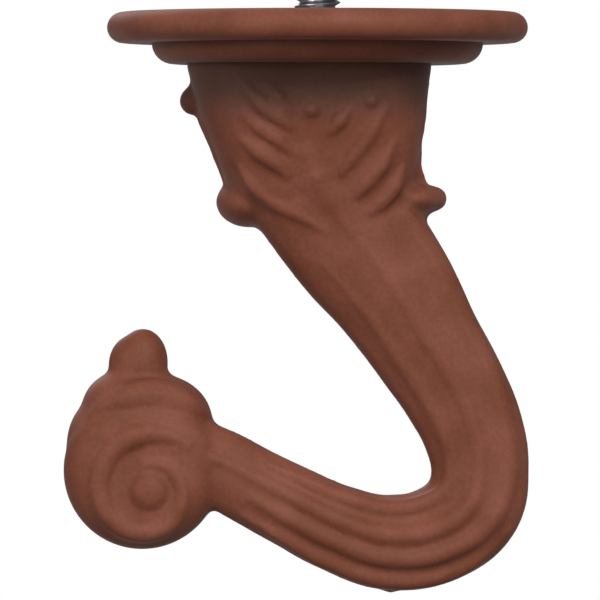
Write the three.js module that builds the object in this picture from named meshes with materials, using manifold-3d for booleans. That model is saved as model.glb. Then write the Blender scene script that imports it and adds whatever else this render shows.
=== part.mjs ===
// Ornamental ceiling hook with its spring toggle bolt.
//
// Millimetres, +Z up into the ceiling. The origin is the centre of the face that lies against
// the ceiling. The hook bends towards +X and its open mouth faces -X; Y runs through its depth.

import * as THREE from "three";
import { mergeVertices } from "three/addons/utils/BufferGeometryUtils.js";
import Module from "manifold-3d";

// Flange: a round plate with a full-round edge, a quarter-round ring under it and a dished back.
const flangeRadius = 19.05;
const flangeThickness = 2.8;
const ringRadius = 15.0;
const ringFootRadius = 12.4;
const ringBottomZ = -4.7;
const landInnerRadius = 15.8; // the flat annulus that meets the ceiling
const recessDepth = 1.6;
const bossRadius = 5.4;
const bossSink = 0.3; // the boss stays this far below the land, so that only the land bears

// Toggle screw: 8-32 thread, 44.5 mm (1-3/4 in) long.
const screwRadius = 2.08;
const screwLength = 44.5;
const threadPitch = 25.4 / 32;
const turnsInCasting = 15.5;
const screwBottomZ = -turnsInCasting * threadPitch;
const screwTopZ = screwBottomZ + screwLength;
const screwChamfer = 0.6;
const threadGap = 0.2; // radial gap that stands for the thread's own clearance
const boreDepth = 13.6;

// Toggle nut: a short round bar across the screw, with a trunnion at each end.
const pivotZ = 21;
const nutRadius = 3.1;
const nutHalfHeight = 2.4;
const nutHalfWidth = 2.75;
const trunnionRadius = 1.1;
const trunnionHalfLength = 5.5;

// Toggle wings: pressed channels, one nested inside the other, open side down.
const wingLength = 18;
const sheet = 0.6;
const webUnderside = 2.75; // height of the channel's roof above the pivot
const webStart = 2.45; // the roof begins here, just clear of the screw
const legBottom = -1.15;
const earRadius = 2.0;
const earHoleRadius = 1.3;
const outerWingHalfWidth = 5.3;
const innerWingHalfWidth = 4.55;
const tipRadius = 1.2;

// Wing springs: a turn and a half of wire round a trunnion and one arm under the wing's roof.
const wireRadius = 0.18;
const coilRadius = 1.5;
const coilTurns = 1.5;
const coilPitch = 0.38;
const coilStartX = 3.06;
const springArm = 8;
const springArmGap = 0.1;

// Neck and arm. A station is [x, z, width, depth]: the centre of a section, its size in the
// hook's plane and its size along Y.
const neckStations = [
  [-0.75, -4.2, 22.2, 17.0],
  [-0.55, -9.3, 20.8, 16.0],
  [0, -13.4, 18.9, 14.8],
  [0.3, -16.4, 17.2, 13.4],
  [0.7, -18.8, 12.8, 11.6],
];
const armStations = [
  [0.6, -15.2, 13.8, 12.6],
  [3.5, -20.5, 12.8, 11.8],
  [6.9, -25.3, 11.7, 11.2],
  [9.9, -30.2, 10.4, 10.4],
  [12.3, -34.1, 9.8, 9.8],
  [14.1, -38.0, 9.3, 9.2],
  [14.8, -41.6, 8.8, 8.8],
  [14.2, -44.6, 9.1, 8.6],
  [11.7, -47.0, 9.0, 8.4],
  [6.8, -48.1, 8.7, 8.2],
  [1.5, -46.7, 7.7, 7.6],
  [-2.0, -44.9, 7.2, 7.2],
  [-5.7, -43.0, 6.9, 6.8],
  [-9.0, -41.2, 6.9, 6.6],
  [-13.0, -39.6, 6.9, 6.4],
];
const barRoundness = 2.4; // 2 is an ellipse, and more is squarer
const reedHeight = 0.3;
const reedSpan = 0.72; // share of the half width that the reeds cover
const reedPitch = 0.48; // distance between reeds, in half widths
const reedFirst = 0.16;
const reedLast = 0.86; // the reeds run between these shares of the arm's length

// Rounded lumps: [x, y, z, radius x, radius y, radius z].
const scrollBody = [-15.75, 0, -40.6, 6.95, 5.2, 7.9];
const scrollShoulder = [-15.4, 0, -36.4, 5.3, 4.1, 4.1];
const scrollTip = [-16.1, 0, -31.4, 2.45, 2.4, 2.7];
const leftLeafTip = [-6.2, 0, -17.2, 2.9, 5.2, 2.2];
const rightLeafTip = [8.6, 0, -16.5, 3.0, 5.0, 1.9];
const sideKnob = [-10.8, 0, -8.0, 1.9, 1.2, 1.2];

const wasm = await Module();
wasm.setup();

function solidFrom(geometry) {
  const bare = geometry.index ? geometry.toNonIndexed() : geometry.clone();
  bare.deleteAttribute("normal");
  bare.deleteAttribute("uv");
  const merged = mergeVertices(bare, 1e-3);
  return new wasm.Manifold(
    new wasm.Mesh({
      numProp: 3,
      vertProperties: new Float32Array(merged.attributes.position.array),
      triVerts: new Uint32Array(merged.index.array),
    }),
  );
}

function geometryFrom(solid) {
  const mesh = solid.getMesh();
  const geometry = new THREE.BufferGeometry();
  geometry.setAttribute("position", new THREE.BufferAttribute(mesh.vertProperties, 3));
  geometry.setIndex(new THREE.BufferAttribute(mesh.triVerts, 1));
  geometry.computeVertexNormals();
  return geometry;
}

// A closed profile of [radius, z] points turned about the Z axis.
function turned(path, divisions, segments) {
  const geometry = new THREE.LatheGeometry(path.getPoints(divisions), segments);
  return solidFrom(geometry.rotateX(Math.PI / 2));
}

function rod(radius, fromZ, toZ, segments) {
  const geometry = new THREE.CylinderGeometry(radius, radius, toZ - fromZ, segments);
  return solidFrom(geometry.rotateX(Math.PI / 2).translate(0, 0, (fromZ + toZ) / 2));
}

function crossRod(radius, halfLength, segments) {
  const geometry = new THREE.CylinderGeometry(radius, radius, 2 * halfLength, segments);
  return solidFrom(geometry.rotateZ(Math.PI / 2));
}

function box(sizeX, sizeY, sizeZ, x, y, z) {
  return solidFrom(new THREE.BoxGeometry(sizeX, sizeY, sizeZ).translate(x, y, z));
}

function lump([x, y, z, radiusX, radiusY, radiusZ], around, down) {
  const geometry = new THREE.SphereGeometry(1, around, down);
  return solidFrom(geometry.scale(radiusX, radiusY, radiusZ).translate(x, y, z));
}

// Raised rounded reeds across the face of a bar: a height for each place across and along it.
function reedAt(across, along) {
  const inSpan = 1 - (across / reedSpan) ** 2;
  const inRun = Math.min(along - reedFirst, reedLast - along) / 0.1;
  if (inSpan <= 0 || inRun <= 0) return 0;
  const wave = 0.5 + 0.5 * Math.cos((2 * Math.PI * across) / reedPitch);
  return reedHeight * wave * Math.sqrt(inSpan) * Math.min(inRun, 1);
}

// A bar with rounded sections laid along a centreline in the XZ plane. It starts as a cylinder,
// and each of its rings is moved to its station and given that station's size.
function sweptBar(stations, rings, sides, heightAt) {
  const centre = new THREE.CatmullRomCurve3(stations.map(([x, z]) => new THREE.Vector3(x, 0, z)));
  const size = new THREE.CatmullRomCurve3(
    stations.map(([, , width, depth]) => new THREE.Vector3(width / 2, depth / 2, 0)),
  );
  const geometry = new THREE.CylinderGeometry(1, 1, 1, sides, rings);
  const place = geometry.attributes.position;
  for (let i = 0; i < place.count; i++) {
    const along = 0.5 - place.getY(i);
    const cos = place.getX(i);
    const sin = place.getZ(i);
    const power = 2 / barRoundness;
    const across = Math.sign(cos) * Math.abs(cos) ** power;
    const through = -Math.sign(sin) * Math.abs(sin) ** power;
    const middle = centre.getPoint(along);
    const tangent = centre.getTangent(along);
    const half = size.getPoint(along);
    const lift = Math.abs(through) > 1e-3 ? Math.sign(through) * heightAt(across, along) : 0;
    place.setXYZ(
      i,
      middle.x - tangent.z * across * half.x,
      through * half.y + lift,
      middle.z + tangent.x * across * half.x,
    );
  }
  return solidFrom(geometry);
}

function flangeSolid() {
  const edge = flangeThickness / 2;
  const profile = new THREE.Path();
  profile.moveTo(0, ringBottomZ);
  profile.lineTo(ringFootRadius, ringBottomZ);
  profile.quadraticCurveTo(ringRadius, ringBottomZ, ringRadius, -flangeThickness);
  profile.lineTo(flangeRadius - edge, -flangeThickness);
  profile.absarc(flangeRadius - edge, -edge, edge, -Math.PI / 2, Math.PI / 2, false);
  profile.lineTo(landInnerRadius, 0);
  profile.lineTo(landInnerRadius - recessDepth, -recessDepth);
  profile.lineTo(bossRadius + recessDepth, -recessDepth);
  profile.lineTo(bossRadius, -bossSink);
  profile.lineTo(0, -bossSink);
  return turned(profile, 4, 60);
}

function hookCasting() {
  const smooth = () => 0;
  const parts = [
    flangeSolid(),
    sweptBar(neckStations, 6, 32, smooth),
    sweptBar(armStations, 36, 36, reedAt),
    lump(scrollBody, 28, 16),
    lump(scrollShoulder, 20, 12),
    lump(scrollTip, 16, 10),
    lump(leftLeafTip, 16, 10),
    lump(rightLeafTip, 16, 10),
    lump(sideKnob, 12, 8),
  ];
  const joined = parts.reduce((whole, next) => whole.add(next));
  return joined.subtract(rod(screwRadius + threadGap, -boreDepth, 1, 32));
}

function toggleScrew() {
  const profile = new THREE.Path();
  profile.moveTo(0, screwBottomZ);
  profile.lineTo(screwRadius - screwChamfer, screwBottomZ);
  profile.lineTo(screwRadius, screwBottomZ + screwChamfer);
  profile.lineTo(screwRadius, screwTopZ - screwChamfer);
  profile.lineTo(screwRadius - screwChamfer, screwTopZ);
  profile.lineTo(0, screwTopZ);
  return turned(profile, 1, 32);
}

// The nut, wings and springs are made about the pivot axis, which is X through the origin,
// and a group lifts them to the pivot's height.
function toggleNut() {
  const barrel = crossRod(nutRadius, nutHalfWidth, 32);
  const flats = box(4 * nutHalfWidth, 4 * nutRadius, 2 * nutHalfHeight, 0, 0, 0);
  const trunnions = crossRod(trunnionRadius, trunnionHalfLength, 24);
  const bore = rod(screwRadius + threadGap, -2 * nutRadius, 2 * nutRadius, 32);
  return barrel.intersect(flats).add(trunnions).subtract(bore);
}

// One side of a wing, seen along X: an ear round the trunnion that runs out into a leg.
function wingSide(outerX) {
  const roofTop = webUnderside + sheet;
  const legAngle = Math.asin(legBottom / earRadius);
  const earTopAngle = (110 * Math.PI) / 180;
  const side = new THREE.Shape();
  side.moveTo(webStart, roofTop);
  side.lineTo(wingLength - tipRadius, roofTop);
  side.quadraticCurveTo(wingLength, roofTop, wingLength, roofTop - tipRadius);
  side.lineTo(wingLength, legBottom + tipRadius);
  side.quadraticCurveTo(wingLength, legBottom, wingLength - tipRadius, legBottom);
  side.lineTo(earRadius * Math.cos(legAngle), legBottom);
  side.absarc(0, 0, earRadius, legAngle, earTopAngle, true);
  side.closePath();
  const hole = new THREE.Path();
  hole.absarc(0, 0, earHoleRadius, 0, 2 * Math.PI, false);
  side.holes.push(hole);
  const plate = new THREE.ExtrudeGeometry(side, { depth: sheet, bevelEnabled: false, curveSegments: 12 });
  // the outline's x becomes Y, its y becomes Z and the thickness runs along X
  plate.rotateX(Math.PI / 2).rotateZ(Math.PI / 2).translate(outerX - sheet, 0, 0);
  return solidFrom(plate);
}

function toggleWing(halfWidth) {
  const roofLength = wingLength - tipRadius - webStart;
  const roofY = webStart + roofLength / 2;
  const roof = box(2 * halfWidth - sheet, roofLength, sheet, 0, roofY, webUnderside + sheet / 2);
  return roof.add(wingSide(halfWidth)).add(wingSide(sheet - halfWidth));
}

// A torsion spring on the +X trunnion, wound so that its arm leaves the top of the coil along +Y.
function wingSpring() {
  const stepsPerTurn = 16;
  const steps = coilTurns * stepsPerTurn;
  const points = [];
  for (let i = 0; i <= steps; i++) {
    const turn = (i / stepsPerTurn - coilTurns) * 2 * Math.PI;
    const x = coilStartX + (coilPitch * i) / stepsPerTurn;
    points.push(new THREE.Vector3(x, coilRadius * Math.sin(turn), coilRadius * Math.cos(turn)));
  }
  const armEndX = points[steps].x;
  const armEndZ = webUnderside - wireRadius - springArmGap;
  const armSteps = 4;
  for (let i = 1; i <= armSteps; i++) {
    const share = i / armSteps;
    const z = coilRadius + (armEndZ - coilRadius) * share;
    points.push(new THREE.Vector3(armEndX, springArm * share, z));
  }
  const wire = new THREE.Shape();
  wire.absarc(0, 0, wireRadius, 0, 2 * Math.PI, false);
  return solidFrom(
    new THREE.ExtrudeGeometry(wire, {
      steps: 44,
      curveSegments: 4,
      bevelEnabled: false,
      extrudePath: new THREE.CatmullRomCurve3(points),
    }),
  );
}

const enamel = { color: 0x7a4a3b, roughness: 0.6, metalness: 0.0 };
const zincPlate = { color: 0xb9bcc0, roughness: 0.35, metalness: 1.0 };
const springWire = { color: 0x9a9da1, roughness: 0.3, metalness: 1.0 };

function named(name, solid, finish) {
  const mesh = new THREE.Mesh(geometryFrom(solid), new THREE.MeshStandardMaterial(finish));
  mesh.name = name;
  return mesh;
}

const group = new THREE.Group();
group.add(named("hook_casting", hookCasting(), enamel));
group.add(named("toggle_screw", toggleScrew(), zincPlate));

const toggle = new THREE.Group();
toggle.position.z = pivotZ;
toggle.add(named("toggle_nut", toggleNut(), zincPlate));

const wingA = new THREE.Group();
wingA.add(named("toggle_wing_a", toggleWing(outerWingHalfWidth), zincPlate));
wingA.add(named("wing_spring_a", wingSpring(), springWire));
toggle.add(wingA);

const wingB = new THREE.Group();
wingB.rotation.z = Math.PI;
wingB.add(named("toggle_wing_b", toggleWing(innerWingHalfWidth), zincPlate));
wingB.add(named("wing_spring_b", wingSpring(), springWire));
toggle.add(wingB);

group.add(toggle);

export default group;
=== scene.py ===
import math

import bpy
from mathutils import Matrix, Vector


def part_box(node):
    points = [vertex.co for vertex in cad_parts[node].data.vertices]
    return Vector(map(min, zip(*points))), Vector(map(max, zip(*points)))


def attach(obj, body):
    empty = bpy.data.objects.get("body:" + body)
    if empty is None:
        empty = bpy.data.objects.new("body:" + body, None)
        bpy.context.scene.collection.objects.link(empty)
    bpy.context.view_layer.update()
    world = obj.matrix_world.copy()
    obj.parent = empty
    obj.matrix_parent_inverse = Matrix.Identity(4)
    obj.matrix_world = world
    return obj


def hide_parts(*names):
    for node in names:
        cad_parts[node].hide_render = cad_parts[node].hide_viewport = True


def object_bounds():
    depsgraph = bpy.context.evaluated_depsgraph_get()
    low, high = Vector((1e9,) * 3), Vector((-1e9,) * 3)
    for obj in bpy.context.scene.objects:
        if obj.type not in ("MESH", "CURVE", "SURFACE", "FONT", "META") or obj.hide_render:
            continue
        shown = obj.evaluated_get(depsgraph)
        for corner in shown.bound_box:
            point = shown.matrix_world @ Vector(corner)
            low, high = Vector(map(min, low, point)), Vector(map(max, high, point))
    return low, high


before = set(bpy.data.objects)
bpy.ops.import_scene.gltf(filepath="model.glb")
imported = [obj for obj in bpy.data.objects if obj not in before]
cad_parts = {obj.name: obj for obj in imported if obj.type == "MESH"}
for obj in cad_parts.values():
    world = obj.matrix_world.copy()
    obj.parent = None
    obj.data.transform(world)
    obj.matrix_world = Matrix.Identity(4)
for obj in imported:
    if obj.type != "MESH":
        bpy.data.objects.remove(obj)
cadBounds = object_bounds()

# Ornamental ceiling hook and its spring toggle bolt: +Z up into the ceiling, scroll end towards -X.
# Shapes are given in millimetres and multiplied by mm as they are used.
mm = 0.001


def clearSelection():
    if bpy.context.mode != "OBJECT":
        bpy.ops.object.mode_set(mode="OBJECT")
    bpy.ops.object.select_all(action="DESELECT")


def activate(piece):
    clearSelection()
    piece.select_set(True)
    bpy.context.view_layer.objects.active = piece


def settle(piece):  # place and size go into the mesh, so the object sits at the origin
    activate(piece)
    bpy.ops.object.transform_apply(location=True, rotation=True, scale=True)


def pick(piece, kind, test):  # leaves the piece in edit mode with what passes the test selected
    activate(piece)
    bpy.ops.object.mode_set(mode="EDIT")
    bpy.ops.mesh.select_mode(type=kind)
    bpy.ops.mesh.select_all(action="DESELECT")
    bpy.ops.object.mode_set(mode="OBJECT")
    mesh = piece.data
    parts = {"VERT": mesh.vertices, "EDGE": mesh.edges, "FACE": mesh.polygons}[kind]
    for part in parts:
        part.select = test(part)
    bpy.ops.object.mode_set(mode="EDIT")


def endsOf(piece, edge):  # an edge's two points, in millimetres
    return [piece.data.vertices[i].co / mm for i in edge.vertices]


def tidyMesh(piece):  # doubles merged first, then the faces turned out
    activate(piece)
    bpy.ops.object.mode_set(mode="EDIT")
    bpy.ops.mesh.select_all(action="SELECT")
    bpy.ops.mesh.remove_doubles(threshold=0.002 * mm)
    bpy.ops.mesh.normals_make_consistent(inside=False)
    bpy.ops.object.mode_set(mode="OBJECT")


def finishWith(piece, kind, **settings):  # adds a modifier and applies it
    activate(piece)
    modifier = piece.modifiers.new(kind.title(), kind)
    for key, value in settings.items():
        setattr(modifier, key, value)
    bpy.ops.object.modifier_apply(modifier=modifier.name)


def joinBy(piece, other, operation):
    finishWith(piece, "BOOLEAN", operation=operation, object=other, solver="MANIFOLD")
    bpy.data.objects.remove(other, do_unlink=True)


def joinAll(name, pieces):
    clearSelection()
    for piece in pieces:
        piece.select_set(True)
    bpy.context.view_layer.objects.active = pieces[0]
    bpy.ops.object.join()
    joined = bpy.context.object
    joined.name = joined.data.name = name
    return joined


# A rounded strand through points of (x, y, z, radius) in millimetres.
def layStrand(name, points, sides=3, steps=8):
    clearSelection()
    bpy.ops.curve.primitive_bezier_curve_add(location=(0, 0, 0))
    strand = bpy.context.object
    strand.name = name
    spline = strand.data.splines[0]
    spline.bezier_points.add(len(points) - 2)
    for knot, (x, y, z, radius) in zip(spline.bezier_points, points):
        knot.co = (x * mm, y * mm, z * mm)
        knot.handle_left_type = knot.handle_right_type = "AUTO"
        knot.radius = radius
    strand.data.bevel_depth = mm
    strand.data.bevel_resolution = sides
    strand.data.resolution_u = steps
    strand.data.use_fill_caps = True
    bpy.ops.object.convert(target="MESH")
    strand = bpy.context.object
    tidyMesh(strand)
    return strand


def addLump(name, centre, radii, segments=32):
    clearSelection()
    bpy.ops.mesh.primitive_uv_sphere_add(
        segments=segments, ring_count=segments // 2, radius=mm,
        location=Vector(centre) * mm, scale=radii,
    )
    lump = bpy.context.object
    lump.name = name
    settle(lump)
    return lump


# A round bar along X or Y, with its two rims rounded off.
def addBar(name, centre, radii, halfLength, rim, alongX=False, vertices=64, segments=6):
    clearSelection()
    turn = (0, math.pi / 2, 0) if alongX else (math.pi / 2, 0, 0)
    scale = (radii[1], radii[0], 1) if alongX else (radii[0], radii[1], 1)
    bpy.ops.mesh.primitive_cylinder_add(
        vertices=vertices, radius=mm, depth=2 * halfLength * mm, location=Vector(centre) * mm,
        rotation=turn, scale=scale,
    )
    bar = bpy.context.object
    bar.name = name
    settle(bar)
    axis = 0 if alongX else 1
    pick(bar, "EDGE", lambda edge: abs(endsOf(bar, edge)[0][axis] - endsOf(bar, edge)[1][axis]) < 0.01)
    bpy.ops.mesh.bevel(offset=rim * mm, segments=segments)
    bpy.ops.object.mode_set(mode="OBJECT")
    return bar


# An open wire through points in millimetres, made by extruding one vertex from point to point.
def drawWire(name, points):
    clearSelection()
    bpy.ops.mesh.primitive_plane_add(size=mm, location=(0, 0, 0))
    piece = bpy.context.object
    piece.name = piece.data.name = name
    pick(piece, "VERT", lambda vertex: vertex.index > 0)
    bpy.ops.mesh.delete(type="VERT")
    bpy.ops.object.mode_set(mode="OBJECT")
    piece.data.vertices[0].co = Vector(points[0]) * mm
    bpy.ops.object.mode_set(mode="EDIT")
    bpy.ops.mesh.select_all(action="SELECT")
    for last, point in zip(points, points[1:]):
        step = (Vector(point) - Vector(last)) * mm
        bpy.ops.mesh.extrude_region_move(TRANSFORM_OT_translate={"value": step})
    bpy.ops.mesh.select_all(action="SELECT")
    return piece


# A profile of (radius, height) spun about Z. It starts and ends on the axis.
def spinProfile(name, profile, steps):
    piece = drawWire(name, [(radius, 0, height) for radius, height in profile])
    bpy.ops.mesh.spin(steps=steps, angle=2 * math.pi, center=(0, 0, 0), axis=(0, 0, 1))
    bpy.ops.object.mode_set(mode="OBJECT")
    tidyMesh(piece)
    return piece


def arcPoints(centreU, centreV, size, fromDegrees, toDegrees, count):
    angles = [math.radians(fromDegrees + (toDegrees - fromDegrees) * i / count) for i in range(count + 1)]
    return [(centreU + size * math.cos(a), centreV + size * math.sin(a)) for a in angles]


def finishPiece(piece, name, material, sharpAngle):
    piece.name = piece.data.name = name
    piece.data.materials.clear()
    piece.data.materials.append(material)
    activate(piece)
    bpy.ops.object.shade_smooth_by_angle(angle=math.radians(sharpAngle))


view = {
    "aim": (-1.58, 0, -26.06),   # mm, middle of the picture
    "distance": 1500,            # mm
    "width": 54.3,               # mm of the object's plane that the picture spans
    "elevation": -0.3,           # degrees, from a little below
}


def placeCamera():
    tilt = math.radians(view["elevation"])
    aim = Vector(view["aim"]) * mm
    back = Vector((0, -math.cos(tilt), math.sin(tilt))) * view["distance"] * mm
    bpy.ops.object.camera_add(location=aim + back, rotation=(math.pi / 2 - tilt, 0, 0))
    camera = bpy.context.object
    camera.data.sensor_width = 36
    camera.data.lens = 36 * view["distance"] / view["width"]
    camera.data.clip_start = 0.01
    bpy.context.scene.camera = camera


lighting = {
    "backdrop": 1.0,     # white seen behind the hook
    "skyColour": "#F4F8FF",
    "skyAbove": 0.52,    # light from straight above, and from below the horizon
    "skyBelow": 0.05,
    "skySpan": (-0.5, 1.0),      # heights, as sines, over which the one turns into the other
    "keyPlace": (400, -1360, 780),
    "keySize": 600,
    "keyPower": 17.6,
    "fillPlace": (-1000, -1300, 150),
    "fillSize": 900,
    "fillPower": 8.5,
    "backPlace": (-600, 1400, 900),
    "backSize": 900,
    "backPower": 8,
    "floorDrop": 60,     # mm between the hook's lowest point and the floor
    "floorSize": 5,      # m
}


def softBox(name, place, size, power):
    aim = Vector((0, 0, -25))
    bpy.ops.object.light_add(type="AREA", location=Vector(place) * mm)
    lamp = bpy.context.object
    lamp.name = name
    lamp.data.shape = "DISK"
    lamp.data.size = size * mm
    lamp.data.energy = power
    lamp.rotation_euler = (aim - Vector(place)).to_track_quat("-Z", "Y").to_euler()


# White behind the hook, and a soft sky that is bright above and dim below as its light.
def studioWorld():
    world = bpy.data.worlds.new("paleStudio")
    world.use_nodes = True
    tree = world.node_tree
    tree.nodes.clear()
    direction = addNode(tree, "ShaderNodeTexCoord").outputs["Generated"]
    height = addNode(tree, "ShaderNodeSeparateXYZ", links={"Vector": direction}).outputs["Z"]
    low, high = lighting["skySpan"]
    strength = addNode(
        tree, "ShaderNodeMapRange",
        {"From Min": low, "From Max": high, "To Min": lighting["skyBelow"], "To Max": lighting["skyAbove"]},
        {"Value": height},
    ).outputs["Result"]
    sky = addNode(
        tree, "ShaderNodeBackground", {"Color": fromHex(lighting["skyColour"])}, {"Strength": strength}
    )
    backdrop = addNode(
        tree, "ShaderNodeBackground", {"Color": fromHex("#FFFFFF"), "Strength": lighting["backdrop"]}
    )
    ray = addNode(tree, "ShaderNodeLightPath")
    mixed = addNode(
        tree, "ShaderNodeMixShader",
        links={0: ray.outputs["Is Camera Ray"], 1: sky.outputs[0], 2: backdrop.outputs[0]},
    )
    addNode(tree, "ShaderNodeOutputWorld", links={"Surface": mixed.outputs[0]})
    return world


def buildStage():
    scene = bpy.context.scene
    scene.view_settings.view_transform = "Standard"
    scene.world = studioWorld()
    softBox("keyBox", lighting["keyPlace"], lighting["keySize"], lighting["keyPower"])
    softBox("fillBox", lighting["fillPlace"], lighting["fillSize"], lighting["fillPower"])
    softBox("backBox", lighting["backPlace"], lighting["backSize"], lighting["backPower"])
    lowest = cadBounds[0][2] - lighting["floorDrop"] * mm
    bpy.ops.mesh.primitive_plane_add(size=lighting["floorSize"], location=(0, 0, lowest))
    floor = bpy.context.object
    floor.name = "paleFloor"
    floor.visible_diffuse = False   # it takes shadows but throws no light back up
    floor.data.materials.append(paintedFloor())


def fromHex(code):  # sRGB hex to linear colour
    channels = [int(code[i:i + 2], 16) / 255 for i in (1, 3, 5)]
    return [c / 12.92 if c <= 0.04045 else ((c + 0.055) / 1.055) ** 2.4 for c in channels] + [1]


def newMaterial(name):
    material = bpy.data.materials.new(name)
    material.use_nodes = True
    return material, material.node_tree


# Settings are the node's own properties or its inputs, by name or number; links feed its inputs.
def addNode(tree, kind, settings=None, links=None):
    node = tree.nodes.new(kind)
    for key, value in (settings or {}).items():
        if isinstance(key, int) or key in node.inputs.keys():
            node.inputs[key].default_value = value
        else:
            setattr(node, key, value)
    for key, source in (links or {}).items():
        tree.links.new(source, node.inputs[key])
    return node


def paintedFloor():  # matt white paint: nothing but a soft shadow shows on it
    material, tree = newMaterial("mattWhitePaint")
    shader = tree.nodes["Principled BSDF"]
    shader.inputs["Base Color"].default_value = fromHex("#F0F0EE")
    shader.inputs["Roughness"].default_value = 0.9
    return material


enamel = {
    "tone": "#854D3B",
    "deepTone": "#76412C",
    "flangeShadeColour": "#433732",      # painted shade: a dark grey brown standing in for the flange's shadow on the neck, in the corner under the flange
    "flangeShadeBelow": (-10.4, -7.2),   # mm of height over which it comes
    "flangeShadeAbove": (-4.2, -4.9),    # and over which it is gone again
    "flangeShadeShare": 0.6,
    "marks": {               # size in mm, detail
        "cloud": (5.0, 3),   # slow drift of the colour over the casting
        "grain": (0.35, 2),  # powder grain; the real one is finer and would not show
        "peel": (0.9, 4),    # orange peel of the baked powder
    },
    "grainTint": 0.1,        # how much the grain lightens and darkens the colour
    "peelHeight": 0.012,     # mm
    "roughness": (0.54, 0.72),
    "gloss": 0.22,
}
# Painted shade darkens the grooves, and the crests are tinted lighter. The reach is in mm, a crest is felt
# from inside the metal, and the colour comes in from the first openness to the second.
grooveShadeAndCrestTint = {
    # painted shade in the hollows of the relief
    "paintedGrooveShade": {
        "colour": "#4A2E24", "share": 0.72, "reach": 1.6, "open": (0.93, 0.45), "inside": False,
        "samples": 12,
    },
    "crest": {
        "colour": "#925E4A", "share": 0.5, "reach": 0.7, "open": (0.9, 0.6), "inside": True,
        "samples": 8,
    },
}


# Baked powder enamel on a zinc die casting: a flat, slightly mottled rust brown with almost no
# gloss, with painted shade darkening the grooves and the corner under the flange, and lighter on the crests.
def mattCastEnamel():
    material, tree = newMaterial("bakedPowderEnamelOnZincCasting")
    shader = tree.nodes["Principled BSDF"]
    spot = addNode(tree, "ShaderNodeTexCoord").outputs["Object"]
    height = addNode(tree, "ShaderNodeSeparateXYZ", links={"Vector": spot}).outputs["Z"]
    marks = {}
    for mark, (size, detail) in enamel["marks"].items():
        marks[mark] = addNode(
            tree, "ShaderNodeTexNoise", {"Scale": 1 / (size * mm), "Detail": detail, "Roughness": 0.55},
            {"Vector": spot},
        ).outputs["Fac"]

    drift = addNode(
        tree, "ShaderNodeMapRange", {"From Min": 0.35, "From Max": 0.65}, {"Value": marks["cloud"]}
    ).outputs["Result"]
    colour = addNode(
        tree, "ShaderNodeMix",
        {"data_type": "RGBA", 6: fromHex(enamel["deepTone"]), 7: fromHex(enamel["tone"])}, {0: drift},
    ).outputs[2]

    # Painted shade: the colour turns dark grey brown on the neck just under the flange, where the flange's
    # shadow falls.
    low, lower = enamel["flangeShadeBelow"]
    high, upper = enamel["flangeShadeAbove"]
    below = addNode(
        tree, "ShaderNodeMapRange",
        {"From Min": low * mm, "From Max": lower * mm, "To Max": enamel["flangeShadeShare"]},
        {"Value": height},
    ).outputs["Result"]
    above = addNode(
        tree, "ShaderNodeMapRange", {"From Min": high * mm, "From Max": upper * mm}, {"Value": height}
    ).outputs["Result"]
    paintedFlangeShade = addNode(tree, "ShaderNodeMath", {"operation": "MULTIPLY"}, {0: below, 1: above}).outputs[0]
    colour = addNode(
        tree, "ShaderNodeMix", {"data_type": "RGBA", 7: fromHex(enamel["flangeShadeColour"])},
        {0: paintedFlangeShade, 6: colour},
    ).outputs[2]

    # Painted shade: the groove colour darkens the hollows of the relief where shade falls; the crest colour
    # lightens the sharp crests.
    for place in (grooveShadeAndCrestTint["paintedGrooveShade"], grooveShadeAndCrestTint["crest"]):
        openness = addNode(
            tree, "ShaderNodeAmbientOcclusion",
            {
                "samples": place["samples"], "inside": place["inside"], "only_local": True,
                "Distance": place["reach"] * mm,
            },
        ).outputs["AO"]
        starts, full = place["open"]
        share = addNode(
            tree, "ShaderNodeMapRange",
            {"From Min": starts, "From Max": full, "To Max": place["share"]}, {"Value": openness},
        ).outputs["Result"]
        colour = addNode(
            tree, "ShaderNodeMix", {"data_type": "RGBA", 7: fromHex(place["colour"])},
            {0: share, 6: colour},
        ).outputs[2]

    light, dark = 1 + enamel["grainTint"], 1 - enamel["grainTint"]
    speck = addNode(
        tree, "ShaderNodeMapRange", {"From Min": 0.3, "From Max": 0.7, "To Min": dark, "To Max": light},
        {"Value": marks["grain"]},
    ).outputs["Result"]
    tinted = addNode(
        tree, "ShaderNodeVectorMath", {"operation": "SCALE"}, {0: colour, "Scale": speck}
    ).outputs["Vector"]
    tree.links.new(tinted, shader.inputs["Base Color"])

    smoothest, dullest = enamel["roughness"]
    sheen = addNode(
        tree, "ShaderNodeMapRange", {"To Min": smoothest, "To Max": dullest}, {"Value": marks["grain"]}
    ).outputs["Result"]
    tree.links.new(sheen, shader.inputs["Roughness"])
    peel = addNode(
        tree, "ShaderNodeBump", {"Strength": 1.0, "Distance": enamel["peelHeight"] * mm},
        {"Height": marks["peel"]},
    ).outputs["Normal"]
    tree.links.new(peel, shader.inputs["Normal"])
    shader.inputs["Specular IOR Level"].default_value = enamel["gloss"]
    return material


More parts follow.
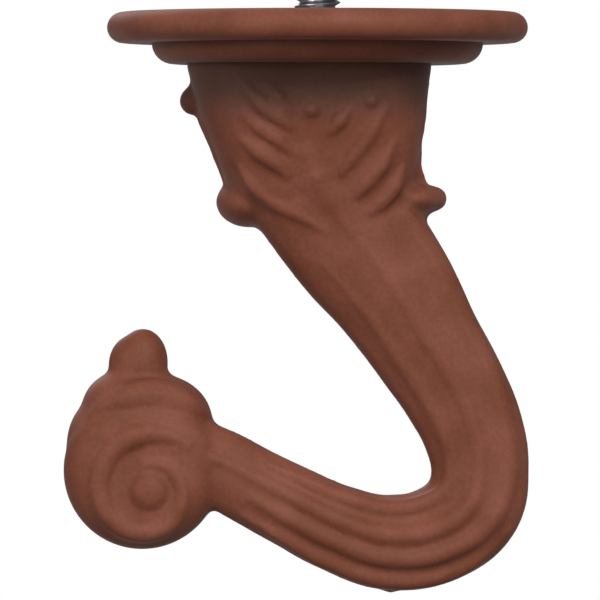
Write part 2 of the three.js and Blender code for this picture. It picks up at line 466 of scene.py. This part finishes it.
casting = {
    "neck": [  # z, centre x, size x, size y
        (-4.0, -0.75, 22.1, 17.0),
        (-9.3, -0.5, 20.3, 16.0),
        (-13.4, 0.05, 18.2, 14.8),
        (-16.4, 0.25, 16.4, 13.4),
        (-18.8, 0.7, 12.8, 11.0),
    ],
    "neckCorner": 5.5,
    "arm": [  # centre x, centre z, width
        (0.4, -15.2, 14.6),
        (3.4, -20.5, 13.0),
        (6.9, -25.3, 11.7),
        (9.9, -30.2, 10.4),
        (12.3, -34.1, 9.8),
        (14.1, -38.0, 9.3),
        (14.7, -41.6, 8.9),
        (14.1, -44.6, 9.1),
        (11.6, -46.9, 9.0),
        (6.8, -48.0, 8.8),
        (1.5, -46.6, 8.0),
        (-2.0, -44.9, 7.6),
        (-5.7, -43.0, 7.3),
        (-9.0, -41.2, 7.2),
        (-13.0, -39.6, 6.9),
    ],
    "armSpread": 0.35,      # the arm is three round bars side by side, this far off its middle plane,
    "armSquash": 0.56,      # pressed together in depth, which leaves its faces nearly flat
    "voxel": 0.26,
    "smoothing": 4,
    "boreRadius": 2.28,
    "boreDepth": 13.6,
    "boreChamfer": 0.4,
}

lumps = {  # centre and radii
    "scrollHead": ((-16.2, 0, -38.4), (6.3, 4.6, 4.7)),
    "scrollCheek": ((-17.9, 0, -39.2), (4.85, 4.4, 5.2)),
    "scrollFlank": ((-17.4, 0, -36.0), (4.0, 4.0, 3.65)),
    "scrollShoulder": ((-14.6, 0, -37.1), (5.15, 4.3, 4.4)),
    "scrollTip": ((-15.8, 0, -31.7), (2.3, 2.4, 3.1)),
    "scrollTipSide": ((-16.75, 0, -32.0), (2.2, 2.3, 2.8)),
    "leftLeafTip": ((-6.2, 0, -17.2), (3.0, 5.2, 2.3)),
    "rightLeafTip": ((8.4, 0, -16.9), (3.1, 5.0, 1.55)),
    "rightLeafNose": ((10.5, 0, -16.9), (1.25, 2.6, 1.15)),
    "sideKnob": ((-11.2, 0, -8.05), (1.35, 1.35, 1.35)),
    "castingGate": ((6.6, 0, -52.2), (0.7, 0.6, 0.45)),
}

reeds = {  # station of the arm, place across its face (0 inner edge, 1 outer edge), radius
    "innerReed": [
        (1, 0.22, 0.4), (2, 0.24, 0.8), (3, 0.25, 1.1), (4, 0.25, 1.15), (5, 0.24, 1.1), (6, 0.22, 1.0),
        (7, 0.19, 0.95), (8, 0.17, 0.95), (9, 0.16, 1.0), (10, 0.16, 0.95), (11, 0.17, 0.8),
        (12, 0.18, 0.4),
    ],
    "mainReed": [
        (1, 0.51, 0.6), (2, 0.52, 1.3), (3, 0.53, 1.4), (4, 0.53, 1.3), (5, 0.51, 1.2),
        (6, 0.49, 1.1), (7, 0.47, 1.1), (8, 0.45, 1.15), (9, 0.43, 1.1), (10, 0.41, 1.0),
        (11, 0.4, 0.85),
        (12, 0.4, 0.75), (13, 0.42, 0.6), (14, 0.5, 0.35),
    ],
    "outerReed": [
        (1, 0.86, 1.0), (2, 0.85, 1.7), (3, 0.84, 1.6), (4, 0.82, 1.5), (5, 0.78, 1.4), (6, 0.76, 1.3),
        (7, 0.72, 1.15), (8, 0.69, 1.0), (9, 0.66, 1.0), (10, 0.64, 0.95), (11, 0.64, 0.8),
        (12, 0.64, 0.45),
    ],
    "edgeReed": [
        (7, 0.93, 0.4), (8, 0.9, 0.8), (9, 0.88, 0.95), (10, 0.87, 0.95), (11, 0.87, 0.7),
        (12, 0.86, 0.4),
    ],
}
# How deep the reeds sink, as shares of their radius: soft on the upper arm, crisp from the bend on.
reedSink = {"upper": 0.74, "lower": 0.46, "from": 6, "to": 8}

# Leaf on each face of the neck: one broad midrib and plumes that fan up and out from it.
# Points are (x, z, radius), with their own sink after it where it isn't the common one.
leaf = {
    "midrib": [
        (-1.5, -10.0, 1.0), (-1.2, -12.0, 2.2), (-0.2, -14.6, 2.9), (1.4, -17.2, 2.6), (3.4, -20.4, 1.4),
    ],
    "midribSink": 0.8,
    "plumes": [
        [(-6.9, -6.4, 0.3), (-5.1, -8.4, 0.85, 0.2), (-3.4, -9.7, 0.85, 0.2), (-2.3, -10.6, 0.4)],
        [(-4.6, -6.8, 0.3), (-3.5, -7.9, 0.65, 0.15), (-2.4, -9.2, 0.35)],
        [(-6.8, -9.2, 0.3), (-5.1, -10.6, 0.8), (-3.5, -11.7, 0.8), (-2.1, -12.9, 0.35)],
        [(-7.0, -11.4, 0.3), (-5.2, -12.8, 0.9), (-3.7, -13.8, 0.9), (-2.5, -15.0, 0.4)],
        [
            (-7.2, -13.7, 0.3), (-5.7, -15.8, 0.75, 0.5), (-3.5, -17.5, 0.8, 0.5), (-1.2, -18.7, 0.6, 0.5),
            (0.8, -20.0, 0.3),
        ],
        [(3.0, -8.8, 0.3), (2.0, -9.9, 0.8, 0.15), (1.0, -11.1, 0.45)],
        [(6.2, -8.7, 0.3), (4.6, -11.3, 0.8), (2.9, -13.5, 0.75), (2.0, -14.8, 0.4)],
        [(7.0, -11.6, 0.3), (5.7, -13.9, 0.85), (4.3, -15.6, 0.8), (3.4, -16.8, 0.4)],
        [(7.8, -13.7, 0.3), (6.8, -15.8, 0.9), (5.5, -17.4, 0.85), (4.5, -18.3, 0.4)],
    ],
    "plumeSink": 0.3,
    "beads": [(-0.5, -8.9, 0.75), (4.8, -8.1, 0.65)],
    "beadSink": 0.2,
}

# Leaf wrapped round each end of the neck: plumes that rise from the curled tip (y, z, radius).
endLeaf = {
    "plumes": [
        [(0, -6.4, 0.3), (0, -9.5, 0.9), (0, -13.0, 1.0), (0, -15.4, 0.6)],
        [(-3.4, -7.6, 0.3), (-2.9, -10.4, 0.85), (-2.2, -13.4, 0.9), (-1.4, -15.6, 0.5)],
        [(3.4, -7.6, 0.3), (2.9, -10.4, 0.85), (2.2, -13.4, 0.9), (1.4, -15.6, 0.5)],
    ],
    "sink": 0.68,
}

scroll = {
    "centre": (-15.25, -43.3),
    "disc": (-15.85, 0, -41.45),  # the drum that carries the whorls
    "discRadii": (7.12, 7.15),
    "discHalfDepth": 4.4,
    "discRim": 2.8,
    "button": 1.85,
    "buttonHeight": 0.6,     # share of its radius
    "buttonSink": 0.15,
    "whorlStart": 45,        # degrees from +X, where the whorl leaves the crest
    "whorlRadius": 5.5,      # its distance from the centre there
    "pitch": 2.8,            # how much closer it is a turn later
    "turns": 1.2,
    "whorlSink": 0.5,
    "crestRadius": 8.5,      # the outer whorl, of which only the crest over the top is raised
    "crest": (50, 128),      # degrees from +X
    "crestSink": 0.6,
}


def neckBlock():
    levels = casting["neck"]
    z, x, width, depth = levels[0]
    clearSelection()
    bpy.ops.mesh.primitive_cube_add(size=mm, location=(x * mm, 0, (z - 0.5) * mm), scale=(width, depth, 1))
    neck = bpy.context.object
    neck.name = "neck"
    settle(neck)
    pick(neck, "EDGE", lambda edge: abs(endsOf(neck, edge)[0].z - endsOf(neck, edge)[1].z) > 0.5)
    bpy.ops.mesh.bevel(offset=casting["neckCorner"] * mm, segments=6)
    bpy.ops.object.mode_set(mode="OBJECT")
    lowest = min(vertex.co.z for vertex in neck.data.vertices)
    pick(neck, "FACE", lambda face: face.center.z < lowest + 0.01 * mm)
    z = z - 1
    for nextZ, nextX, nextWidth, nextDepth in levels[1:]:
        bpy.ops.mesh.extrude_region_move(
            TRANSFORM_OT_translate={"value": ((nextX - x) * mm, 0, (nextZ - z) * mm)}
        )
        bpy.ops.transform.resize(
            value=(nextWidth / width, nextDepth / depth, 1), center_override=(nextX * mm, 0, nextZ * mm)
        )
        z, x, width, depth = nextZ, nextX, nextWidth, nextDepth
    bpy.ops.object.mode_set(mode="OBJECT")
    return neck


def plainArm():
    bars = []
    for side in (-1, 0, 1):
        shift = side * casting["armSpread"]
        line = [(x, shift * width, z, width / 2) for x, z, width in casting["arm"]]
        bars.append(layStrand("arm", line, sides=8))
    arm = joinAll("arm", bars)
    activate(arm)
    bpy.ops.object.mode_set(mode="EDIT")
    bpy.ops.mesh.select_all(action="SELECT")
    bpy.ops.transform.resize(value=(1, casting["armSquash"], 1), center_override=(0, 0, 0))
    bpy.ops.object.mode_set(mode="OBJECT")
    return arm


def castingBody():
    pieces = [neckBlock(), plainArm()]
    pieces += [addLump(name, centre, radii) for name, (centre, radii) in lumps.items()]
    halfDepth, rim = scroll["discHalfDepth"], scroll["discRim"]
    pieces.append(addBar("scrollDisc", scroll["disc"], scroll["discRadii"], halfDepth, rim))
    body = joinAll("castingBody", pieces)
    finishWith(body, "REMESH", mode="VOXEL", voxel_size=0.4 * mm)
    return body


# Where a line along Y from outside meets the body, sunk by a share of the strand's radius.
def onFace(body, x, z, radius, side, sink):
    hit, place, _, _ = body.ray_cast(Vector((x, side * 40, z)) * mm, Vector((0, -side, 0)))
    return (x, place.y / mm - side * sink * radius, z, radius) if hit else None


def onEnd(body, y, z, radius, side, sink):  # the same along X
    hit, place, _, _ = body.ray_cast(Vector((side * 40, y, z)) * mm, Vector((-side, 0, 0)))
    return (place.x / mm - side * sink * radius, y, z, radius) if hit else None


def layOn(body, name, line, side, sink, cast=onFace):  # a strand laid on the body along a line
    points = [cast(body, u, v, radius, side, own[0] if own else sink) for u, v, radius, *own in line]
    return layStrand(name, [point for point in points if point])


def reedLine(stations):
    arm = casting["arm"]
    line = []
    for i, across, radius in stations:
        x, z, width = arm[i]
        before = arm[max(i - 1, 0)]
        after = arm[min(i + 1, len(arm) - 1)]
        along = Vector((after[0] - before[0], after[1] - before[1])).normalized()
        offset = (across - 0.5) * width
        share = min(max((i - reedSink["from"]) / (reedSink["to"] - reedSink["from"]), 0), 1)
        sink = reedSink["upper"] + (reedSink["lower"] - reedSink["upper"]) * share
        line.append((x - along.y * offset, z + along.x * offset, radius, sink))
    return line


def whorlLine():
    centreX, centreZ = scroll["centre"]
    count = round(scroll["turns"] * 12)
    line = []
    for i in range(count + 1):
        angle = math.radians(scroll["whorlStart"] + 30 * i)
        reach = scroll["whorlRadius"] - scroll["pitch"] * i / 12
        thick = min(0.5 + 0.4 * i, 1.4 - 0.8 * i / count)
        line.append((centreX + reach * math.cos(angle), centreZ + reach * math.sin(angle), thick))
    return line


def crestLine():
    centreX, centreZ = scroll["centre"]
    first, last = scroll["crest"]
    line = []
    for i in range(7):
        angle = math.radians(first + (last - first) * i / 6)
        thick = 0.4 + 1.3 * math.sin(math.pi * i / 6)
        reach = scroll["crestRadius"]
        line.append((centreX + reach * math.cos(angle), centreZ + reach * math.sin(angle), thick))
    return line


def reliefOn(body, side):
    pieces = [layOn(body, name, reedLine(stations), side, 0) for name, stations in reeds.items()]
    pieces.append(layOn(body, "midrib", leaf["midrib"], side, leaf["midribSink"]))
    pieces += [layOn(body, "plume", line, side, leaf["plumeSink"]) for line in leaf["plumes"]]
    for x, z, radius in leaf["beads"]:
        place = onFace(body, x, z, radius, side, leaf["beadSink"])[:3]
        pieces.append(addLump("bead", place, [radius] * 3, 12))
    pieces.append(layOn(body, "whorl", whorlLine(), side, scroll["whorlSink"]))
    pieces.append(layOn(body, "crest", crestLine(), side, scroll["crestSink"]))
    x, z = scroll["centre"]
    button = scroll["button"]
    place = onFace(body, x, z, button, side, scroll["buttonSink"])[:3]
    pieces.append(addLump("button", place, (button, scroll["buttonHeight"] * button, button), 20))
    return pieces


def endLeaves(body):
    plumes = []
    for side in (-1, 1):
        plumes += [layOn(body, "endPlume", line, side, endLeaf["sink"], onEnd) for line in endLeaf["plumes"]]
    return plumes


def sculptedBody():
    body = castingBody()
    relief = reliefOn(body, -1) + reliefOn(body, 1) + endLeaves(body)
    body = joinAll("castingBody", [body] + relief)
    finishWith(body, "REMESH", mode="VOXEL", voxel_size=casting["voxel"] * mm)
    finishWith(body, "SMOOTH", factor=0.5, iterations=casting["smoothing"])
    return body


flange = {
    "radius": 19.05,
    "thickness": 2.8,
    "ringRadius": 15.0,
    "ringBottom": -4.7,
    "landInner": 15.8,
    "recess": 1.6,
    "boss": 5.4,
    "bossSink": 0.3,
}


def flangeDisc():
    edge = flange["thickness"] / 2
    ring, low = flange["ringRadius"], flange["ringBottom"]
    drop = -flange["thickness"] - low
    profile = [(0, low)]
    profile += arcPoints(ring - drop, low + drop, drop, -90, 0, 8)
    profile += arcPoints(flange["radius"] - edge, -edge, edge, -90, 90, 12)
    profile += [
        (flange["landInner"], 0),
        (flange["landInner"] - flange["recess"], -flange["recess"]),
        (flange["boss"] + flange["recess"], -flange["recess"]),
        (flange["boss"], -flange["bossSink"]),
        (0, -flange["bossSink"]),
    ]
    return spinProfile("flange", profile, 128)


def boreCutter():  # down the neck from the boss, with a chamfered mouth
    radius, deep, chamfer = casting["boreRadius"], casting["boreDepth"], casting["boreChamfer"]
    mouth = -flange["bossSink"]
    profile = [
        (0, -deep - radius * 0.6), (radius, -deep), (radius, mouth - chamfer),
        (radius + 2 * chamfer, mouth + chamfer), (0, mouth + chamfer),
    ]
    return spinProfile("bore", profile, 48)


def buildCasting():
    body = sculptedBody()
    disc = flangeDisc()
    joinBy(disc, body, "UNION")
    joinBy(disc, boreCutter(), "DIFFERENCE")
    finishPiece(disc, "castHook", mattCastEnamel(), 40)
    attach(disc, "hook")
    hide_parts("hook_casting")
    print("casting:", len(disc.data.polygons), "faces")


# Plating colours, roughness, and the size in mm of the marks left by making the piece.
plating = {
    "toggleScrew": {"tint": "#B4B7BA", "dull": "#8E9194", "roughness": 0.34, "markSize": 0.5},
    "toggleNut": {"tint": "#B7BABD", "dull": "#93969A", "roughness": 0.3, "markSize": 0.8},
    "toggleWing": {"tint": "#BDBFC1", "dull": "#96999B", "roughness": 0.38, "markSize": 1.6},
    "wingSpring": {"tint": "#A9ACAE", "dull": "#85888B", "roughness": 0.26, "markSize": 0.3},
}


# Bright zinc plate on steel: a light grey metal, faintly clouded where the passivation lies
# thicker, with a soft broken gloss from tumbling.
def zincPlatedSteel(part):
    look = plating[part]
    material, tree = newMaterial("brightZincPlatedSteel_" + part)
    shader = tree.nodes["Principled BSDF"]
    shader.inputs["Metallic"].default_value = 1.0
    spot = addNode(tree, "ShaderNodeTexCoord").outputs["Object"]
    marks = addNode(
        tree, "ShaderNodeTexNoise", {"Scale": 1 / (look["markSize"] * mm), "Detail": 4, "Roughness": 0.6},
        {"Vector": spot},
    ).outputs["Fac"]
    clouds = addNode(
        tree, "ShaderNodeTexNoise", {"Scale": 1 / (4 * look["markSize"] * mm), "Detail": 2}, {"Vector": spot}
    ).outputs["Fac"]
    share = addNode(
        tree, "ShaderNodeMapRange", {"From Min": 0.35, "From Max": 0.7}, {"Value": clouds}
    ).outputs["Result"]
    colour = addNode(
        tree, "ShaderNodeMix", {"data_type": "RGBA", 6: fromHex(look["tint"]), 7: fromHex(look["dull"])},
        {0: share},
    ).outputs[2]
    tree.links.new(colour, shader.inputs["Base Color"])
    smoothest, dullest = look["roughness"] - 0.07, look["roughness"] + 0.12
    gloss = addNode(
        tree, "ShaderNodeMapRange",
        {"From Min": 0.3, "From Max": 0.7, "To Min": smoothest, "To Max": dullest}, {"Value": marks},
    ).outputs["Result"]
    tree.links.new(gloss, shader.inputs["Roughness"])
    dent = addNode(tree, "ShaderNodeBump", {"Strength": 0.6, "Distance": 0.006 * mm}, {"Height": marks})
    tree.links.new(dent.outputs["Normal"], shader.inputs["Normal"])
    return material


screw = {
    "radius": 2.08,
    "pitch": 25.4 / 32,
    "threadDepth": 0.46,
    "crest": 0.1,        # flat on the thread's top and bottom, as shares of the pitch
    "root": 0.2,
    "stepsPerTurn": 32,
}


# One pitch of thread profile is wound up the axis, then cut to length by a chamfered blank.
def buildScrew():
    low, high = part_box("toggle_screw")
    bottom, top = low[2] / mm, high[2] / mm
    pitch, major = screw["pitch"], screw["radius"]
    minor = major - screw["threadDepth"]
    start = bottom - 2 * pitch
    turns = math.ceil((top - bottom) / pitch) + 4
    flank = (1 - screw["crest"] - screw["root"]) / 2
    heights = [0, screw["root"], screw["root"] + flank, screw["root"] + flank + screw["crest"], 1]
    radii = [minor, minor, major, major, minor]
    thread = drawWire("thread", [(r, 0, start + h * pitch) for r, h in zip(radii, heights)])
    bpy.ops.object.mode_set(mode="OBJECT")
    finishWith(
        thread, "SCREW", angle=2 * math.pi, screw_offset=pitch * mm, iterations=turns,
        steps=screw["stepsPerTurn"], render_steps=screw["stepsPerTurn"], use_merge_vertices=True,
        merge_threshold=0.001 * mm,
    )
    tidyMesh(thread)
    activate(thread)
    bpy.ops.object.mode_set(mode="EDIT")
    bpy.ops.mesh.select_all(action="DESELECT")
    bpy.ops.mesh.select_mode(type="EDGE")
    bpy.ops.mesh.select_non_manifold()
    bpy.ops.mesh.fill()
    bpy.ops.object.mode_set(mode="OBJECT")
    tidyMesh(thread)
    tip = minor - 0.1
    reach = major + 0.2 - tip
    outline = [
        (0, bottom), (tip, bottom), (tip + reach, bottom + reach),
        (tip + reach, top - reach), (tip, top), (0, top),
    ]
    blank = spinProfile("blank", outline, 48)
    joinBy(blank, thread, "INTERSECT")
    finishPiece(blank, "toggleScrew", zincPlatedSteel("toggleScrew"), 28)
    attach(blank, "screw")
    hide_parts("toggle_screw")
    print("toggle screw:", len(blank.data.polygons), "faces")


toggle = {
    "barrelRadius": 3.1,
    "flatHeight": 2.4,       # the barrel is flat above and below, this far from the pivot
    "barrelHalfLength": 2.75,
    "trunnionRadius": 1.1,
    "trunnionHalfLength": 5.5,
    "boreRadius": 2.28,
    "countersink": 0.35,
    "edge": 0.22,
}


def pivotHeight():  # the nut's middle, which is the wings' pivot
    low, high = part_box("toggle_nut")
    return (low[2] + high[2]) / 2 / mm


def buildNut():
    z = pivotHeight()
    nut = addBar(
        "toggleNut", (0, 0, z), [toggle["barrelRadius"]] * 2, toggle["barrelHalfLength"], 0.3,
        alongX=True, vertices=72, segments=3,
    )
    for side in (-1, 1):
        pick(nut, "FACE", lambda face: True)
        bpy.ops.mesh.bisect(
            plane_co=(0, 0, (z + side * toggle["flatHeight"]) * mm), plane_no=(0, 0, side),
            use_fill=True, clear_outer=True,
        )
        bpy.ops.object.mode_set(mode="OBJECT")
    finishWith(
        nut, "BEVEL", width=toggle["edge"] * mm, segments=3,
        limit_method="ANGLE", angle_limit=math.radians(35),
    )
    trunnion = addBar(
        "trunnion", (0, 0, z), [toggle["trunnionRadius"]] * 2, toggle["trunnionHalfLength"], 0.35,
        alongX=True, vertices=40, segments=4,
    )
    joinBy(nut, trunnion, "UNION")
    radius, sink, face = toggle["boreRadius"], toggle["countersink"], toggle["flatHeight"]
    outline = [
        (0, z - face - 1), (radius + sink + 1, z - face - 1), (radius, z - face + sink),
        (radius, z + face - sink), (radius + sink + 1, z + face + 1), (0, z + face + 1),
    ]
    joinBy(nut, spinProfile("nutBore", outline, 48), "DIFFERENCE")
    finishPiece(nut, "toggleNut", zincPlatedSteel("toggleNut"), 30)
    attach(nut, "nut")
    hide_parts("toggle_nut")
    print("toggle nut:", len(nut.data.polygons), "faces")


wing = {
    "length": 18,
    "sheet": 0.6,
    "roofTop": 3.35,        # above the pivot
    "roofStart": 2.45,      # the roof begins here, just clear of the screw
    "legBottom": -1.15,
    "earRadius": 2.0,
    "earHole": 1.3,
    "earTopAngle": 110,
    "tipRadius": 1.2,
    "bend": 0.85,           # outer radius of the two folds
    "insideBend": 0.28,
    "deburr": 0.09,
    "halfWidths": {"a": 5.3, "b": 4.55},
    "hollowPlace": 8,       # middle of the block that hollows the sheet, along the wing
    "hollowDepth": 8,
    "mouthLength": 8,       # of the block that opens the end where the screw passes
    "mouthHeight": 12,
    "mouthRise": 2,         # its middle above the pivot
}


def wingOutline():  # (y, z) about the pivot, from the roof's start round the tip and the ear
    top, low, tip, ear = wing["roofTop"], wing["legBottom"], wing["tipRadius"], wing["earRadius"]
    length = wing["length"]
    legAngle = math.degrees(math.asin(low / ear))
    outline = [(wing["roofStart"], top)]
    outline += arcPoints(length - tip, top - tip, tip, 90, 0, 6)
    outline += arcPoints(length - tip, low + tip, tip, 0, -90, 6)
    outline += arcPoints(0, 0, ear, legAngle, wing["earTopAngle"] - 360, 20)
    return outline


# A block of the wing's side outline, its two roof edges folded round, then hollowed from below.
def pressedWing(name, halfWidth, direction):
    z = pivotHeight()
    block = drawWire(name, [(-halfWidth, y, z + h) for y, h in wingOutline()])
    bpy.ops.mesh.edge_face_add()
    bpy.ops.mesh.extrude_region_move(TRANSFORM_OT_translate={"value": (2 * halfWidth * mm, 0, 0)})
    bpy.ops.object.mode_set(mode="OBJECT")
    tidyMesh(block)
    roof = z + wing["roofTop"] - wing["tipRadius"] - 0.01

    def folds(edge):
        a, b = endsOf(block, edge)
        return min(a.z, b.z) > roof and abs(a.x - b.x) < 0.01 and max(a.y, b.y) > wing["roofStart"] + 0.1

    pick(block, "EDGE", folds)
    bpy.ops.mesh.bevel(offset=wing["bend"] * mm, segments=5)
    bpy.ops.object.mode_set(mode="OBJECT")

    inner = halfWidth - wing["sheet"]
    ceiling = z + wing["roofTop"] - wing["sheet"]
    deep = wing["hollowDepth"]
    clearSelection()
    bpy.ops.mesh.primitive_cube_add(
        size=mm, location=(0, wing["hollowPlace"] * mm, (ceiling - deep / 2) * mm),
        scale=(2 * inner, 2 * wing["length"], deep),
    )
    hollow = bpy.context.object
    settle(hollow)

    def insideFolds(edge):
        a, b = endsOf(hollow, edge)
        return min(a.z, b.z) > ceiling - 0.01 and abs(a.x - b.x) < 0.01

    pick(hollow, "EDGE", insideFolds)
    bpy.ops.mesh.bevel(offset=wing["insideBend"] * mm, segments=3)
    bpy.ops.object.mode_set(mode="OBJECT")
    joinBy(block, hollow, "DIFFERENCE")

    clearSelection()
    back = wing["roofStart"] - wing["mouthLength"] / 2
    bpy.ops.mesh.primitive_cube_add(
        size=mm, location=(0, back * mm, (z + wing["mouthRise"]) * mm),
        scale=(2 * inner, wing["mouthLength"], wing["mouthHeight"]),
    )
    mouth = bpy.context.object
    settle(mouth)
    joinBy(block, mouth, "DIFFERENCE")
    hole = addBar("earHole", (0, 0, z), [wing["earHole"]] * 2, 10, 0.1, alongX=True, vertices=40, segments=1)
    joinBy(block, hole, "DIFFERENCE")
    finishWith(
        block, "BEVEL", width=wing["deburr"] * mm, segments=2,
        limit_method="ANGLE", angle_limit=math.radians(50),
    )
    if direction < 0:
        activate(block)
        bpy.ops.object.mode_set(mode="EDIT")
        bpy.ops.mesh.select_all(action="SELECT")
        bpy.ops.transform.rotate(value=math.pi, orient_axis="Z", center_override=(0, 0, 0))
        bpy.ops.object.mode_set(mode="OBJECT")
    return block


def buildWings():
    for letter, direction in (("a", 1), ("b", -1)):
        piece = pressedWing("toggleWing_" + letter, wing["halfWidths"][letter], direction)
        finishPiece(piece, "toggleWing_" + letter, zincPlatedSteel("toggleWing"), 30)
        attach(piece, "wing_" + letter)
        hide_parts("toggle_wing_" + letter)
        print("toggle wing", letter + ":", len(piece.data.polygons), "faces")


spring = {
    "wire": 0.18,           # radius
    "coil": 1.5,            # radius of the wire's centreline
    "turns": 1.5,
    "pitch": 0.38,
    "start": 3.06,          # along the trunnion
    "arm": 8,
    "armEnd": 2.47,         # height above the pivot, just under the wing's roof
}


# A turn and a half round the trunnion, starting below it, and an arm under the wing's roof.
def springWire(direction):
    z = pivotHeight()
    steps = round(spring["turns"] * 16)
    points = []
    for i in range(steps + 1):
        turn = 2 * math.pi * (i / 16 - spring["turns"])
        across = spring["start"] + spring["pitch"] * i / 16
        points.append((across, spring["coil"] * math.sin(turn), z + spring["coil"] * math.cos(turn)))
    for share in (0.15, 0.4, 0.7, 1):
        rise = (spring["armEnd"] - spring["coil"]) * share
        points.append((points[steps][0], spring["arm"] * share, z + spring["coil"] + rise))
    return [(direction * x, direction * y, h, spring["wire"]) for x, y, h in points]


def buildSprings():
    for letter, direction in (("a", 1), ("b", -1)):
        piece = layStrand("wingSpring_" + letter, springWire(direction), sides=4, steps=4)
        finishPiece(piece, "wingSpring_" + letter, zincPlatedSteel("wingSpring"), 50)
        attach(piece, "wing_" + letter)
        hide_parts("wing_spring_" + letter)
        print("wing spring", letter + ":", len(piece.data.polygons), "faces")


clearSelection()
placeCamera()
buildStage()
print("camera, light and floor ready")
buildCasting()
buildScrew()
buildNut()
buildWings()
buildSprings()
